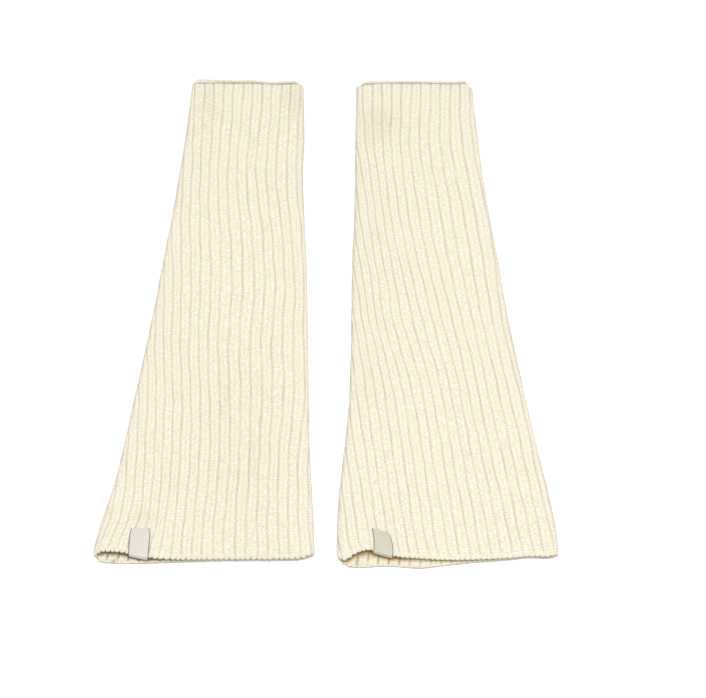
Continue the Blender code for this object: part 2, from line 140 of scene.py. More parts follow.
LEG_RIGHT = {
    "sections": (
        (-213.0, 10.5, 178.4, 177.8, 144.7, 112.0, 80.5, 50.3, 20.3),
        (-201.4, 9.9, 178.0, 175.1, 142.6, 110.1, 77.5, 48.3, 17.7),
        (-183.4, 10.0, 176.1, 172.1, 139.7, 107.7, 74.8, 45.6, 15.4),
        (-161.4, 11.3, 172.6, 168.1, 136.0, 104.4, 72.1, 42.3, 13.1),
        (-137.4, 13.7, 167.9, 164.0, 131.5, 100.7, 69.1, 39.1, 10.2),
        (-111.4, 16.5, 163.0, 160.3, 127.0, 97.2, 65.9, 35.6, 6.8),
        (-85.4, 18.8, 158.2, 155.4, 122.4, 93.3, 62.6, 32.3, 4.3),
        (-59.4, 20.1, 153.8, 150.3, 118.6, 89.1, 57.6, 29.4, 2.6),
        (-33.4, 20.8, 149.4, 145.2, 113.9, 82.8, 51.2, 25.9, 0.7),
        (-7.4, 21.1, 145.1, 141.2, 108.7, 76.7, 45.0, 22.4, -1.7),
        (18.6, 21.4, 141.8, 138.8, 103.7, 71.5, 42.5, 18.9, -5.2),
        (44.6, 21.9, 138.6, 136.8, 99.1, 66.2, 38.7, 14.8, -9.5),
        (72.6, 22.9, 134.5, 133.8, 94.7, 61.2, 34.8, 10.1, -14.5),
        (100.6, 23.8, 130.7, 129.5, 91.5, 57.4, 31.7, 5.9, -20.1),
        (128.6, 24.2, 127.5, 125.1, 87.6, 54.7, 28.3, 1.1, -26.2),
        (156.6, 24.3, 125.0, 121.4, 84.7, 52.7, 24.2, -4.1, -32.6),
        (184.6, 24.9, 122.8, 119.6, 85.8, 53.3, 22.0, -8.8, -39.5),
        (213.0, 25.5, 120.7, 119.8, 87.0, 53.9, 20.6, -13.0, -46.5),
    ),
    "hems": (
        (0.0, -214.4, -214.4, 0.5, 212.4, 210.2),
        (0.03, -218.4, -216.6, 1.4, 214.6, 209.8),
        (0.06, -220.3, -212.8, 2.1, 216.0, 210.5),
        (0.11, -220.5, -209.2, 2.4, 216.7, 211.0),
        (0.15, -220.1, -209.0, 2.4, 216.8, 211.3),
        (0.19, -219.5, -211.0, 2.4, 216.8, 211.5),
        (0.27, -219.9, -214.0, 1.9, 217.0, 211.7),
        (0.37, -221.1, -215.2, 1.4, 217.4, 211.7),
        (0.46, -219.5, -216.1, 1.0, 217.5, 211.7),
        (0.6, -216.7, -216.0, 0.6, 217.1, 211.6),
        (0.77, -214.4, -214.6, 0.3, 216.7, 211.2),
        (0.88, -212.4, -213.0, 0.2, 216.7, 211.2),
        (0.96, -213.2, -213.2, 0.2, 216.8, 211.4),
        (1.0, -211.4, -211.2, 0.1, 209.6, 208.4),
    ),
    "waves": (
        (0.22, -15.0, 20.0, 60.0, 0.34, 1.1),
        (0.12, -110.0, 16.0, 60.0, 0.30, 0.6),
        (0.80, 70.0, 20.0, 60.0, 0.16, 0.8),
        (0.55, -90.0, 20.0, 70.0, 0.24, 0.5),
        (0.45, 130.0, 22.0, 50.0, 0.10, 0.6),
        (0.86, -150.0, 18.0, 50.0, 0.24, 0.6),
        (0.22, 147.0, 16.0, 14.0, 0.00, 1.4),
        (0.20, 28.0, 14.0, 26.0, 0.30, 0.8),
    ),
    "seam": 24.1,
    "notch": 0.6,
    "dim": (
        (43.0, 174.0, 14.0, 13.0, 0.13),
        (33.0, -66.0, 12.0, 22.0, 0.04),
        (24.0, 130.0, 4.0, 60.0, 0.06),
    ),
    "label": (
        (0.0, 35.8, -190.9, 47.6, -194.2),
        (0.15, 36.2, -193.8, 49.5, -197.0),
        (0.4, 36.8, -199.2, 50.9, -201.4),
        (0.7, 37.1, -205.0, 52.0, -207.3),
        (1.0, 36.3, -209.3, 51.6, -214.0),
    ),
}
LEGS = {"left": LEG_LEFT, "right": LEG_RIGHT}

# Height of a course along the leg, which is stretched more at its ends
COURSES = (
    (-213.0, 2.50),
    (-111.0, 2.32),
    (19.0, 2.22),
    (109.0, 2.45),
    (213.0, 2.65),
)

# Across one rib of two wales. The opening is in courses, and the relief is the stitches'
RIB_COLUMNS = ("place", "height", "opening", "relief")
RIB_POINTS = (
    (0.000, 0.00, 0.48, 0.90),
    (0.050, 0.52, 0.40, 0.70),
    (0.120, 0.90, 0.12, 0.55),
    (0.270, 1.00, -0.34, 0.35),
    (0.410, 0.93, 0.12, 0.60),
    (0.500, 0.78, 0.62, 0.90),
    (0.590, 0.93, 0.12, 0.60),
    (0.730, 1.00, -0.34, 0.35),
    (0.880, 0.90, 0.12, 0.55),
    (0.950, 0.52, 0.40, 0.70),
)
# Coarser places across a rib for the underside and the inside
PLAIN_PLACES = (0.0, 0.2, 0.5, 0.8)
PLAIN_HEIGHTS = (0.0, 0.96, 0.80, 0.96)
# Ribs looked for on a row, and past the right fold on the underside
RIB_RANGE = (-4, 28)
UNDER_RIBS = 40
FOLD_MARGIN = 0.4
END_KEYS = (-10000, 10000)
UNDER_ROW_STEP = 4
INNER_ROW_STEP = 8
# Rows of the inside that are all kept near each end, where the eye looks in
INNER_NEAR_ROWS = 14
# How far a rib strays from its line: turn for each rib, and length along for each turn
SWAY = 0.5
SWAY_WAVES = ((0.9, 17.0), (2.3, -9.7))

# The bound-off ends, and how far the valleys draw back from the top edge
BOUND_EDGE = 5.5
BOUND_VALLEY = 0.95
BOUND_RIBBING = 0.25
SCALLOP = 1.0
SCALLOP_REACH = 3.5
RIM_ROUND = 0.8
RIM_LIFT = 0.3
# Yarn loops on the upper edge, by wale, and the wider ones on the under edge
WALES = 0.5
WALE_START = 0.27
LOOP_LENGTH = 1.3
LOOP_SETBACK = 0.2
LOOP_SHARE = 0.5
LOOP_HIGH = 1.25
LOOP_SLANT = 0.18
LOOP_UNEVEN = (0.84, 1.04)
UNDER_LOOP_START = 1.5
UNDER_LOOP_STEP = 4.0
UNDER_LOOP_IN = 0.9
UNDER_LOOP_HEIGHT = 1.25
UNDER_LOOP = (2.2, 1.0, 1.15)

# The inside of the wall, on the flat and round a fold
INNER_LIFT = -1.7
INNER_FOLD_LIFT = -2.0
INNER_RIBBING = 0.5
INNER_TURN = 0.8
INNER_FOLD_TURN = 0.1
WIDEST_GAPE = 2.4

# Turns round a fold, 0 on top and 1 underneath: where a change starts, and over how much
SINK_TURN = (0.5, 0.45)
PLAIN_TURN = (0.7, 0.25)
EDGE_SHADE_TURN = (0.24, 0.2)
EDGE_SHADE_END_TURN = (0.6, 0.2)
# How much painted shade greys an edge that turns from the light: at a fold, on the hem and on the under rim
FOLD_EDGE_SHADE = 0.08
HEM_EDGE_SHADE = 0.7
UNDER_EDGE_SHADE = 0.12
UNDER_VALLEY_EDGE_SHADE = 0.8

# The shade in the mouth: how far out it comes over the strip of under layer that shows
SHADE_REACH = 0.28
SHADE_VALLEY_REACH = 0.4
SHADE_MARGIN = 0.6
SHADE_SOFT = 0.3
SHADE_SOFT_LEAST = 0.8
SHADE_LENGTH = 120.0
LABEL_SHADE = (7.0, 3.0)
CLOSED_SHARE = 0.65
CLOSED_ACROSS = (0.26, 0.1)
SEAM_WIDTH = 0.8
SEAM_SHADE = 0.95
SEAM_LENGTH = 30.0
# The painted shadow line on the under layer that shows past the top edge, from and to
TOP_LINE_FROM = (-4.0, 2.0)
TOP_LINE_TO = (3.3, 0.9)

# The label's fold: rows on its front and inside, its turns in degrees, its bulge
LABEL_FRONT_ROWS = 20
LABEL_UNDER_ROWS = 6
LABEL_TURNS = (25.0, 50.0, 75.0, 105.0, 130.0, 155.0, 180.0)
LABEL_NOSE = 0.8
LABEL_HEM_LAP = 0.3
LABEL_TO_HEM = (0.6, 0.4)
LABEL_BULGE = 0.5
LABEL_BULGE_SOFT = 0.3

# Half the width of the air between the legs, where a material changes from one to the other
LEG_SPLIT = 0.01
# The stage, in metres: the camera stands over a point of the paper, and looks down at it
PAPER_REACH = 6.0
PAPER_HEIGHT = -0.0003
AIR_STRENGTH = 0.48
LAMPS = (
    ("lamp_over", (0.30, -0.3, 2.1), 1.1, 40.0),
    ("lamp_left", (-1.3, 0.3, 2.1), 1.2, 10.0),
)
CAMERA_OVER = (0.020789, -0.032523)
CAMERA_HEIGHT = 1.70697
CAMERA_ELEVATION = math.radians(65.0)
SENSOR_WIDTH = 36.0
FOCAL_SHARE = 2340.0 / 706.0


def ease(part):
    """Smooth step from 0 to 1."""
    part = np.clip(part, 0.0, 1.0)
    return part * part * (3.0 - 2.0 * part)


def ramp(value, start, length):
    """Smooth step from 0 at the start to 1 a length past it."""
    return ease((value - start) / length)


def smooth_curve(places, values, where):
    """Values on a smooth curve through a table's rows."""
    places = np.asarray(places, dtype=float)
    values = np.asarray(values, dtype=float)
    where = np.clip(where, places[0], places[-1])
    last = len(places) - 1
    span = np.clip(np.searchsorted(places, where, side="right") - 1, 0, last - 1)
    before = np.maximum(span - 1, 0)
    after = np.minimum(span + 2, last)
    length = places[span + 1] - places[span]
    slope_start = (values[span + 1] - values[before]) / (places[span + 1] - places[before])
    slope_end = (values[after] - values[span]) / (places[after] - places[span])
    part = (where - places[span]) / length
    square = part * part
    cube = square * part
    start = values[span] * (2.0 * cube - 3.0 * square + 1.0)
    end = values[span + 1] * (3.0 * square - 2.0 * cube)
    bend = slope_start * (cube - 2.0 * square + part) + slope_end * (cube - square)
    return start + end + bend * length


def rib_weights(ribs):
    """How much of each rib knot makes up each rib, straight on past the outer knots."""
    knots = np.array(RIB_KNOTS, dtype=float)
    inside = np.clip(ribs, knots[0], knots[-1])
    weights = np.stack([smooth_curve(knots, share, inside) for share in np.eye(len(knots))], axis=-1)
    step = knots[1] - knots[0]
    before = np.minimum(ribs - knots[0], 0.0) / step
    after = np.maximum(ribs - knots[-1], 0.0) / step
    weights[..., 0] -= before
    weights[..., 1] += before
    weights[..., -2] -= after
    weights[..., -1] += after
    return weights


def shifted(x, y, z):
    """Points of the centred pair from a leg's own places."""
    return np.stack([x + CENTRE_SHIFT[0], y + CENTRE_SHIFT[1], z], axis=-1)


class LegForm:
    """Where any point of one leg's cloth lies, in millimetres."""

    def __init__(self, leg):
        self.sections = np.array(leg["sections"])
        self.hems = np.array(leg["hems"])
        self.waves = leg["waves"]
        self.label = np.array(leg["label"])
        self.seam = leg["seam"]
        self.notch = leg["notch"]
        self.dim = leg["dim"]

    def section(self, name, along):
        return smooth_curve(self.sections[:, 0], self.sections[:, SECTION_COLUMNS.index(name)], along)

    def hem(self, name, across):
        return smooth_curve(self.hems[:, 0], self.hems[:, HEM_COLUMNS.index(name)], across)

    def gap(self, across, along):
        """Air between the layers: the rest gap, the gape of the hem and the soft waves."""
        gape = self.hem("gape", across) * (1.0 - ramp(along, HEM_ALONG, GAPE_REACH))
        side = ease(across / WAVE_SIDE) * ease((1.0 - across) / WAVE_SIDE)
        ends = ramp(along, HEM_ALONG, WAVE_END) * ease((TOP_ALONG - along) / WAVE_END)
        width = self.section("right", along) - self.section("left", along)
        waves = 0.0
        for centre, place, wide, long, slant, rise in self.waves:
            run = along - place
            offset = (across - centre) * width + slant * run
            waves = waves + rise * np.exp(-((offset / wide) ** 2) - (run / long) ** 2)
        return REST_GAP + gape + waves * side * ends

    def rib_line(self, ribs, along):
        """Distance across of the ribs, counted from the right edge, at places along the leg."""
        knots = [self.section("rib %d" % knot, along) for knot in RIB_KNOTS]
        sway = SWAY
        for turn, length in SWAY_WAVES:
            sway = sway * np.sin(turn * ribs + along / length)
        return np.sum(np.stack(knots, axis=-1) * rib_weights(ribs), axis=-1) + sway

    def folds(self, along):
        """Radius and inner end of the left fold and of the right one."""
        zero = np.zeros_like(along)
        radius_left = WALL + self.gap(zero, along) / 2.0
        radius_right = WALL + self.gap(zero + 1.0, along) / 2.0
        left = self.section("left", along) + radius_left
        right = self.section("right", along) - radius_right
        return radius_left, left, radius_right, right

    def ends(self, along, turn):
        """How far the right fold and the left one run, counted across, to a part of their turn."""
        radius_left, left, radius_right, right = self.folds(along)
        return right + math.pi * radius_right * turn, left - math.pi * radius_left * turn

    def shade(self, places, sunk):
        """How deep in the mouth's shade points inside the tube lie, deeper between two ribs."""
        x = places[..., 0] - CENTRE_SHIFT[0]
        y = places[..., 1] - CENTRE_SHIFT[1]
        across = self.across(x, HEM_ALONG)
        hem = self.hem("hem over", across)
        strip = np.maximum(hem - self.hem("hem under", across), 0.0)
        middle = (self.label[-1, 1] + self.label[-1, 3]) / 2.0
        below_label = 1.0 - ramp(np.abs(x - middle), *LABEL_SHADE)
        reach = (SHADE_REACH + SHADE_VALLEY_REACH * sunk) * strip + SHADE_MARGIN + below_label
        start = ease((y - hem + reach) / (SHADE_SOFT * strip + SHADE_SOFT_LEAST))
        closed = 1.0 - CLOSED_SHARE * ramp(across, *CLOSED_ACROSS)
        shade_depth = start * closed * (1.0 - ramp(y, hem, SHADE_LENGTH))
        return np.maximum(shade_depth, SEAM_SHADE * self.beside_seam(x) * (1.0 - ramp(y, hem, SEAM_LENGTH)))

    def painted_dimness(self, places):
        """Painted shade in dim spots of the upper layer, which stand for soft hollows where the light is lower."""
        share = 0.0
        for x, y, wide, long, shade_depth in self.dim:
            away = ((places[..., 0] - x) / wide) ** 2 + ((places[..., 1] - y) / long) ** 2
            share = share + shade_depth * np.exp(-away)
        return share

    def beside_seam(self, x):
        return np.exp(-(((x - self.seam) / SEAM_WIDTH) ** 2))

    def top_shadow_line(self, places):
        """Painted shadow line: 1 on the inside just past the upper layer's top edge, and 0 a little beyond it."""
        beyond = places[..., 1] - CENTRE_SHIFT[1]
        beyond = beyond - self.hem("top over", self.across(places[..., 0] - CENTRE_SHIFT[0], TOP_ALONG))
        return ease((TOP_LINE_TO[0] - beyond) / TOP_LINE_TO[1]) * ramp(beyond, *TOP_LINE_FROM)

    def across(self, x, along):
        left = self.section("left", along)
        right = self.section("right", along)
        return np.clip((x - left) / (right - left), 0.0, 1.0)

    def lengthwise(self, x, along, over):
        """Place along the leg between the under layer (0) and the upper one (1)."""
        across = self.across(x, along)
        hem = self.hem("hem under", across) * (1.0 - over) + self.hem("hem over", across) * over
        top = self.hem("top under", across) * (1.0 - over) + self.hem("top over", across) * over
        part = (along - HEM_ALONG) / (TOP_ALONG - HEM_ALONG)
        return hem + (top - hem) * part

    def point(self, u, along, lift):
        """Points of the upper layer and its folds, with the way out of the cloth and the turn.

        Between the folds u is the distance across. Beyond them it runs round the fold to
        the edge of the flat underside. The turn is 0 on top and 1 underneath.
        """
        u, along, lift = np.broadcast_arrays(*(np.asarray(n, dtype=float) for n in (u, along, lift)))
        radius_left, left, radius_right, right = self.folds(along)
        beyond_right = np.clip((u - right) / (math.pi * radius_right), 0.0, 1.0)
        beyond_left = np.clip((left - u) / (math.pi * radius_left), 0.0, 1.0)
        turn = np.maximum(beyond_right, beyond_left)
        side = np.where(u > right, 1.0, -1.0)
        radius = np.where(u > right, radius_right, radius_left)
        centre = np.where(u > right, right, left)
        on_fold = turn > 0.0
        angle = turn * math.pi
        reach = radius + lift
        flat_z = 2.0 * WALL + self.gap(self.across(u, along), along) + lift
        x = np.where(on_fold, centre + side * reach * np.sin(angle), u)
        z = np.where(on_fold, radius + reach * np.cos(angle), flat_z)
        over = (1.0 + np.cos(angle)) / 2.0
        y = self.lengthwise(x, along, over) + self.notch * over * (1.0 - ramp(along, HEM_ALONG, BOUND_EDGE))
        out_x = np.where(on_fold, side * np.sin(angle), 0.0)
        out_z = np.where(on_fold, np.cos(angle), 1.0)
        return shifted(x, y, z), np.stack([out_x, np.zeros_like(out_x), out_z], axis=-1), turn

    def height(self, x, y):
        """Height of the upper layer's base over a place between the folds."""
        along = y
        for _ in range(3):
            across = self.across(x, along)
            hem = self.hem("hem over", across)
            top = self.hem("top over", across)
            along = HEM_ALONG + (y - hem) / (top - hem) * (TOP_ALONG - HEM_ALONG)
        return 2.0 * WALL + self.gap(self.across(x, along), along)

    def under(self, x, along, height):
        """Points of the flat under layer between the folds."""
        x, along, height = np.broadcast_arrays(*(np.asarray(n, dtype=float) for n in (x, along, height)))
        return shifted(x, self.lengthwise(x, along, 0.0), height)


FORMS = {side: LegForm(leg) for side, leg in LEGS.items()}


def course_rows():
    """Places along a leg of the rows of points, two for each course, and their course numbers."""
    fine = np.linspace(HEM_ALONG, TOP_ALONG, 2000)
    heights = smooth_curve([row[0] for row in COURSES], [row[1] for row in COURSES], fine)
    counted = np.concatenate([[0.0], np.cumsum(np.diff(fine) / ((heights[1:] + heights[:-1]) / 2.0))])
    courses = 4 * int(round(counted[-1] / 4.0))
    counted *= courses / counted[-1]
    numbers = np.arange(0, 2 * courses + 1) / 2.0
    rows = np.interp(numbers, counted, fine)
    shrink = (TOP_ALONG - HEM_ALONG - 2.0 * RIM_ROUND) / (TOP_ALONG - HEM_ALONG)
    return (rows - HEM_ALONG) * shrink + HEM_ALONG + RIM_ROUND, numbers


def bound(along):
    """1 on the bound-off hem, where the ribs run out, and 0 past it."""
    return 1.0 - ramp(along, HEM_ALONG + RIM_ROUND, BOUND_EDGE)


def turn_outward(data):
    """Turns every face of a closed mesh outward."""
    shell = bmesh.new()
    shell.from_mesh(data)
    bmesh.ops.recalc_face_normals(shell, faces=shell.faces[:])
    shell.to_mesh(data)
    shell.free()


class Shell:
    """Points of one closed knitted shell with what the knitting needs to know of each."""

    # phase: place across a rib. course: count from the hem. sink: ribs pressed in, not out
    # shade: painted shade deep in the mouth, in dim spots of the upper layer, and the side seam's dark line
    # rim: painted shade, the grey of an edge that turns away from the light and of the line past the top edge
    FACTS = ("phase", "course", "sink", "ribbing", "stitching", "shade", "rim")

    def __init__(self):
        self.places = []
        self.outs = []
        self.facts = []
        self.faces = []
        self.count = 0

    def add(self, places, outs, **facts):
        """Adds points, and gives their numbers in the shape they came in."""
        shape = places.shape[:-1]
        self.places.append(places.reshape(-1, 3))
        self.outs.append(np.broadcast_to(outs, places.shape).reshape(-1, 3))
        columns = [np.broadcast_to(facts.get(name, 0.0), shape).reshape(-1) for name in self.FACTS]
        self.facts.append(np.stack(columns, axis=-1))
        total = int(np.prod(shape))
        numbers = np.arange(self.count, self.count + total).reshape(shape)
        self.count += total
        return numbers

    def add_grid(self, shown, places, outs, **facts):
        """Adds the shown points of a grid, and gives their numbers in it, -1 where none shows."""
        facts = {name: np.broadcast_to(values, shown.shape)[shown] for name, values in facts.items()}
        grid = np.full(shown.shape, -1)
        grid[shown] = self.add(places[shown], outs[shown], **facts)
        return grid

    def zip(self, lower, upper):
        """Fills the band between two chains of (key, number), stepping on whichever is behind."""
        low = high = 0
        low_last = len(lower) - 1
        high_last = len(upper) - 1
        while low < low_last or high < high_last:
            low_next = lower[low + 1][0] if low < low_last else None
            high_next = upper[high + 1][0] if high < high_last else None
            step_low = high_next is None or (low_next is not None and low_next <= high_next)
            step_high = low_next is None or (high_next is not None and high_next <= low_next)
            face = [lower[low][1]]
            if step_low:
                low += 1
                face.append(lower[low][1])
            if step_high:
                high += 1
                face += [upper[high][1], upper[high - 1][1]]
            else:
                face.append(upper[high][1])
            self.faces.append(tuple(face))

    def fill(self, chains):
        """Fills the bands between all the chains of a layer."""
        for lower, upper in zip(chains[:-1], chains[1:]):
            self.zip(lower, upper)

    def mesh(self, name):
        """The shell as a mesh whose points carry their facts, with outward faces."""
        data = bpy.data.meshes.new(name)
        data.from_pydata((np.concatenate(self.places) * MM).tolist(), [], self.faces)
        facts = np.concatenate(self.facts)
        for column, fact in enumerate(self.FACTS):
            layer = data.attributes.new(fact, "FLOAT", "POINT")
            layer.data.foreach_set("value", facts[:, column].astype(np.float32))
        out = data.attributes.new("out", "FLOAT_VECTOR", "POINT")
        out.data.foreach_set("vector", np.concatenate(self.outs).astype(np.float32).ravel())
        turn_outward(data)
        data.polygons.foreach_set("use_smooth", np.ones(len(data.polygons), dtype=bool))
        return data


def make_chain(first, numbers, points, places, last):
    """Entries of (key, number, place across) along one row, between its two ends."""
    entries = [(int(key), int(point), float(place)) for key, point, place in zip(numbers, points, places)]
    return [(END_KEYS[0],) + first] + entries + [(END_KEYS[1],) + last]


def layer_chains(shell, form, rows, numbers, grid, u, lift, way, shaded):
    """Chains of a layer over both folds from right to left, row by row, with their ends."""
    ends = []
    for u_end in form.ends(rows, 1.0):
        places, outs, _ = form.point(u_end, rows, lift)
        # painted shade deep in the mouth on the two ends of the inside
        added = shell.add(places, way * outs, shade=form.shade(places, 0.0) if shaded else 0.0)
        ends.append([(int(point), float(place)) for point, place in zip(added, u_end)])
    chains = []
    for row, (first, last) in enumerate(zip(*ends)):
        here = np.flatnonzero(grid[row] >= 0)
        chains.append(make_chain(first, numbers[here], grid[row, here], u[row, here], last))
    return chains


def upper_chains(shell, form, rows, courses):
    """The ribbed face of the upper layer and both folds."""
    points = np.array(RIB_POINTS)
    numbers = np.arange(RIB_RANGE[0] * len(points), RIB_RANGE[1] * len(points))
    phase, height, opening, _ = points[numbers % len(points)].T
    ribs = numbers // len(points) + phase
    calm = ease(np.minimum(courses, courses[-1] - courses) / 2.0)
    step = np.gradient(rows, courses)
    along = rows[:, None] + opening[None, :] * (step * calm)[:, None]
    u = form.rib_line(np.broadcast_to(ribs, along.shape), along)
    edge = bound(along)
    places, outs, turn = form.point(u, along, edge * BOUND_VALLEY)
    places[..., 1] -= SCALLOP * (1.0 - height) * ramp(along, TOP_ALONG - SCALLOP_REACH, SCALLOP_REACH)
    first, last = form.ends(along, 1.0)
    grid = shell.add_grid(
        (u < first - FOLD_MARGIN) & (u > last + FOLD_MARGIN),
        places,
        outs,
        phase=phase,
        course=courses[:, None],
        sink=ramp(turn, *SINK_TURN),
        ribbing=1.0 - edge * (1.0 - BOUND_RIBBING),
        stitching=(1.0 - 0.5 * edge) * (1.0 - ramp(turn, *PLAIN_TURN)),
        # painted shade in dim spots of the upper layer
        shade=form.painted_dimness(places),
        # painted shade: the folds are greyed where they turn from the light
        rim=FOLD_EDGE_SHADE * ramp(turn, *EDGE_SHADE_TURN) * (1.0 - ramp(turn, *EDGE_SHADE_END_TURN)),
    )
    return layer_chains(shell, form, rows, numbers, grid, u, 0.0, 1.0, False)


def plain_chains(shell, form, rows, courses):
    """The inside of the upper layer and both folds, ribbed out of step with the face."""
    per_rib = len(PLAIN_PLACES)
    numbers = np.arange(RIB_RANGE[0] * per_rib, RIB_RANGE[1] * per_rib)
    phase = np.array(PLAIN_PLACES)[numbers % per_rib]
    along = np.broadcast_to(rows[:, None], (len(rows), len(numbers)))
    u = form.rib_line(np.broadcast_to(numbers // per_rib + phase + 0.5, along.shape), along)
    fold = ease(form.point(u, along, 0.0)[2] / INNER_FOLD_TURN)
    places, outs, _ = form.point(u, along, INNER_LIFT + (INNER_FOLD_LIFT - INNER_LIFT) * fold)
    first, last = form.ends(along, INNER_TURN)
    grid = shell.add_grid(
        (u < first) & (u > last),
        places,
        -outs,
        phase=phase,
        course=courses[:, None],
        ribbing=(1.0 - fold) * INNER_RIBBING,
        # painted shade deep in the mouth, deeper between ribs
        shade=form.shade(places, 1.0 - np.array(PLAIN_HEIGHTS)[numbers % per_rib]),
    )
    return layer_chains(shell, form, rows, numbers, grid, u, INNER_FOLD_LIFT, -1.0, True)


def under_chains(shell, form, rows, courses, uppers, inner):
    """The flat under layer between the folds, on its outer face or its inner one.

    Its ribs run on round the right fold, and end at the left one.
    """
    _, left, radius_right, right = form.folds(rows)
    rib_0 = form.section("rib 0", rows)
    pitch = (rib_0 - form.section("rib 12", rows)) / 12.0
    near_pitch = (rib_0 - form.section("rib 4", rows)) / 4.0
    rib_end = (rib_0 - right - math.pi * radius_right) / near_pitch
    per_rib = len(PLAIN_PLACES)
    numbers = np.arange(-UNDER_RIBS * per_rib, 0)[::-1]
    phases = np.array(PLAIN_PLACES)[numbers % per_rib]
    sunk = 1.0 - np.array(PLAIN_HEIGHTS)[numbers % per_rib]
    ribs = numbers // per_rib + phases + (0.5 if inner else 0.0)
    chains = []
    for row, along in enumerate(rows):
        x = right[row] - (rib_end[row] - ribs) * pitch[row]
        shown = (x < right[row] - FOLD_MARGIN) & (x > left[row] + FOLD_MARGIN)
        x = x[shown]
        places = form.under(x, along, -INNER_LIFT if inner else 0.0)
        if inner:
            gape = form.hem("gape", form.across(x, along)) * (1.0 - ramp(along, HEM_ALONG, GAPE_REACH))
            facts = {
                "ribbing": INNER_RIBBING * (1.0 + gape / WIDEST_GAPE),
                # painted shade deep in the mouth, deeper between ribs, and the side seam's dark line
                "shade": form.shade(places, sunk[shown]),
                # painted shadow line just past the upper layer's top edge
                "rim": form.top_shadow_line(places),
            }
        else:
            facts = {"ribbing": 1.0 - bound(along) * (1.0 - BOUND_RIBBING), "sink": 1.0}
        out = np.array([0.0, 0.0, 1.0 if inner else -1.0])
        added = shell.add(places, out, phase=phases[shown], course=courses[row], **facts)
        first = (uppers[row][0][1], float(right[row]))
        last = (uppers[row][-1][1], float(left[row]))
        chains.append(make_chain(first, -numbers[shown], added, x, last))
    return chains


def close_rim(shell, form, along, way, upper, under, inner_upper, inner_under):
    """Rounds the wall's edge at one open end, between its face and its inside."""
    at_hem = way < 0
    out = np.array([0.0, float(way), 0.0])
    low = np.array([1.0 - RIB_POINTS[entry[0] % len(RIB_POINTS)][1] for entry in upper])
    low[0] = low[-1] = 0.0
    lift = np.full(len(upper), (INNER_LIFT + BOUND_VALLEY) / 2.0 + RIM_LIFT)
    lift[0] = lift[-1] = INNER_FOLD_LIFT / 2.0
    places, _, _ = form.point([entry[2] for entry in upper], along, lift)
    places[:, 1] += way * RIM_ROUND
    if not at_hem:
        places[:, 1] -= SCALLOP * low
    # painted shade: the upper layer's hem edge is greyed where it turns from the light
    ring_upper = shell.add(places, out, rim=HEM_EDGE_SHADE * form.notch * at_hem)
    x = np.array([entry[2] for entry in under[1:-1]])
    places = form.under(x, along, WALL / 2.0)
    places[:, 1] += way * RIM_ROUND
    sunk = np.array([1.0 - PLAIN_HEIGHTS[entry[0] % len(PLAIN_PLACES)] for entry in under[1:-1]])
    # painted shade greys the under rim, most in its valleys; the side seam leaves a dark mark on the hem
    under_rim_shade = np.maximum(UNDER_EDGE_SHADE + UNDER_VALLEY_EDGE_SHADE * sunk, form.beside_seam(x) * at_hem)
    inside = shell.add(places, out, rim=under_rim_shade)
    ring_under = [ring_upper[0]] + list(inside) + [ring_upper[-1]]
    for chain, ring in ((upper, ring_upper), (under, ring_under)):
        shell.zip(chain, [(entry[0], int(number)) for entry, number in zip(chain, ring)])
    for chain, ring, inner in ((upper, ring_upper, inner_upper), (under, ring_under, inner_under)):
        keyed = [(-entry[2], int(number)) for entry, number in zip(chain, ring)]
        shell.zip(keyed, [(-entry[2], entry[1]) for entry in inner])


def knit_shell(form):
    """The whole leg as one closed shell: face, folds, underside, inside and two rims."""
    shell = Shell()
    rows, courses = course_rows()
    upper = upper_chains(shell, form, rows, courses)
    shell.fill(upper)
    few = np.arange(0, len(rows), UNDER_ROW_STEP)
    under = under_chains(shell, form, rows[few], courses[few], [upper[n] for n in few], False)
    shell.fill(under)
    for low, high in zip(few[:-1], few[1:]):
        for end in (0, -1):
            for step in range(low + 1, high):
                shell.faces.append(tuple(upper[n][end][1] for n in (low, step, step + 1)))
    order = np.arange(len(rows))
    near, far = INNER_NEAR_ROWS, len(rows) - INNER_NEAR_ROWS
    fewer = np.concatenate([order[:near], order[near:far:INNER_ROW_STEP], order[far:]])
    inner = plain_chains(shell, form, rows[fewer], courses[fewer])
    shell.fill(inner)
    inner_under = under_chains(shell, form, rows[fewer], courses[fewer], inner, True)
    shell.fill(inner_under)
    for end, way in ((0, -1), (-1, 1)):
        close_rim(shell, form, rows[end], way, upper[end], under[end], inner[end], inner_under[end])
    return shell


def linear(hex_colour):
    """An sRGB hex colour as linear red, green, blue and alpha."""
    levels = [int(hex_colour[n : n + 2], 16) / 255.0 for n in (1, 3, 5)]
    return tuple(v / 12.92 if v <= 0.04045 else ((v + 0.055) / 1.055) ** 2.4 for v in levels) + (1.0,)


def feed(tree, node, inputs):
    """Sets a node's inputs: a socket, or a node's first output in use, is linked to them."""
    for key, value in inputs.items():
        if isinstance(value, bpy.types.Node):
            value = next(socket for socket in value.outputs if socket.enabled)
        if isinstance(value, bpy.types.NodeSocket):
            tree.links.new(value, node.inputs[key])
        else:
            node.inputs[key].default_value = value


def add_node(tree, kind, inputs=None, **settings):
    """Adds a node with its settings, its input values and the links that feed it."""
    node = tree.nodes.new(kind)
    for name, value in settings.items():
        setattr(node, name, value)
    feed(tree, node, inputs or {})
    return node


def new_material(name):
    """An empty material's tree and shader, and the place on the object that its patterns follow."""
    material = bpy.data.materials.new(name)
    material.use_nodes = True
    tree = material.node_tree
    return material, tree, tree.nodes["Principled BSDF"], add_node(tree, "ShaderNodeTexCoord").outputs["Object"]


